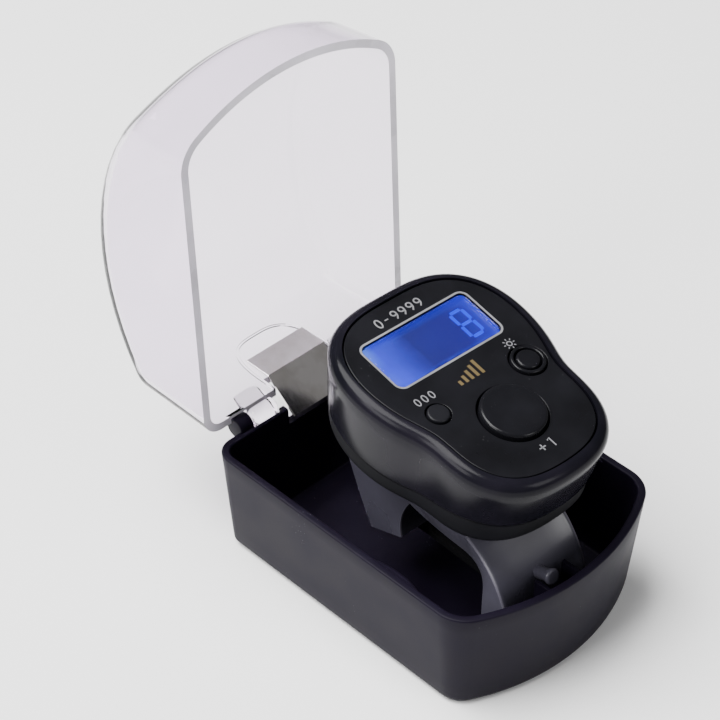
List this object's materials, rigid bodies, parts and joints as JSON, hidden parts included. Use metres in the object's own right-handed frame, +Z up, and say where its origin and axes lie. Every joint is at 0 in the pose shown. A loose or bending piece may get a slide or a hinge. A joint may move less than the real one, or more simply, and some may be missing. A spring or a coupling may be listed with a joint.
{
  "type": "finger tally counter in a sprung case",
  "caption": "Electronic tally counter with a lit display and a push button on a finger ring, standing in its hinged case with the clear domed lid open.",
  "frame": {"origin": "middle of the case's plan, on its underside", "axes": "+X to the right across the case, +Y to the hinge at the back, +Z up"},
  "size_m": [0.044, 0.0866, 0.0802],
  "materials": {
    "case_black": "satin moulded black",
    "lid_clear": "clear polished, faint lavender tint",
    "spring_steel": "nickel-plated spring sheet",
    "shell_gloss": "polished black",
    "shell_matt": "matt black",
    "face_black": "black face with fine silver and gold printing",
    "window_clear": "clear window",
    "display_blue": "backlit blue display",
    "led_blue": "blue light",
    "board_green": "solder-masked board",
    "button_gloss": "polished black",
    "button_matt": "satin black",
    "cell_steel": "brushed cell can",
    "screw_steel": "zinc-plated screws",
    "ring_slate": "satin slate-grey moulding",
    "strap_rubber": "matt black rubber"
  },
  "bodies": {
    "case": {"case_base": "case_black"},
    "lid": {"case_lid": "lid_clear", "hinge_spring": "spring_steel"},
    "counter": {"upper_shell": "shell_gloss", "lower_shell": "shell_matt", "face_plate": "face_black", "display_window": "window_clear", "display_panel": "display_blue", "light_guide": "window_clear", "backlight_led": "led_blue", "zebra_strip": "strap_rubber", "circuit_board": "board_green", "chip_blob": "shell_matt", "light_collar": "button_gloss", "count_switch": "shell_matt", "reset_switch": "shell_matt", "light_switch": "shell_matt", "cell_front": "cell_steel", "cell_back": "cell_steel", "contact_negative": "spring_steel", "contact_positive": "spring_steel", "cell_bridge": "spring_steel", "shell_screw_front": "screw_steel", "shell_screw_left": "screw_steel", "shell_screw_right": "screw_steel", "ring_screw_left": "screw_steel", "ring_screw_right": "screw_steel", "ring_saddle": "ring_slate", "ring_strap": "strap_rubber"},
    "count_key": {"count_button": "button_gloss"},
    "reset_key": {"reset_button": "button_matt"},
    "light_key": {"light_button": "button_gloss"}
  },
  "joints": [
    {"name": "lid_hinge", "type": "hinge", "parent": "case", "child": "lid", "pos_m": [0, 0.03081, 0.0199], "axis": [1, 0, 0], "range_deg": [0, 93.27], "deforming": ["hinge_spring"]},
    {"name": "counter_seat", "type": "slide", "parent": "case", "child": "counter", "axis": [0, 0.2631, -0.9648], "range_m": [0, 0.0057]},
    {"name": "count_press", "type": "slide", "parent": "counter", "child": "count_key", "axis": [0, 0.1805, -0.9836], "range_m": [0, 0.0009], "stiffness_N_per_m": 300, "springref_m": -0.0005},
    {"name": "reset_press", "type": "slide", "parent": "counter", "child": "reset_key", "axis": [0, 0.1805, -0.9836], "range_m": [0, 0.0005], "stiffness_N_per_m": 300, "springref_m": -0.0004},
    {"name": "light_press", "type": "slide", "parent": "counter", "child": "light_key", "axis": [0, 0.1805, -0.9836], "range_m": [0, 0.0005], "stiffness_N_per_m": 300, "springref_m": -0.0004}
  ],
  "couplings": [
    {"joint": "lid_hinge", "follows": "counter_seat", "rad_per_m": 285.5}
  ]
}
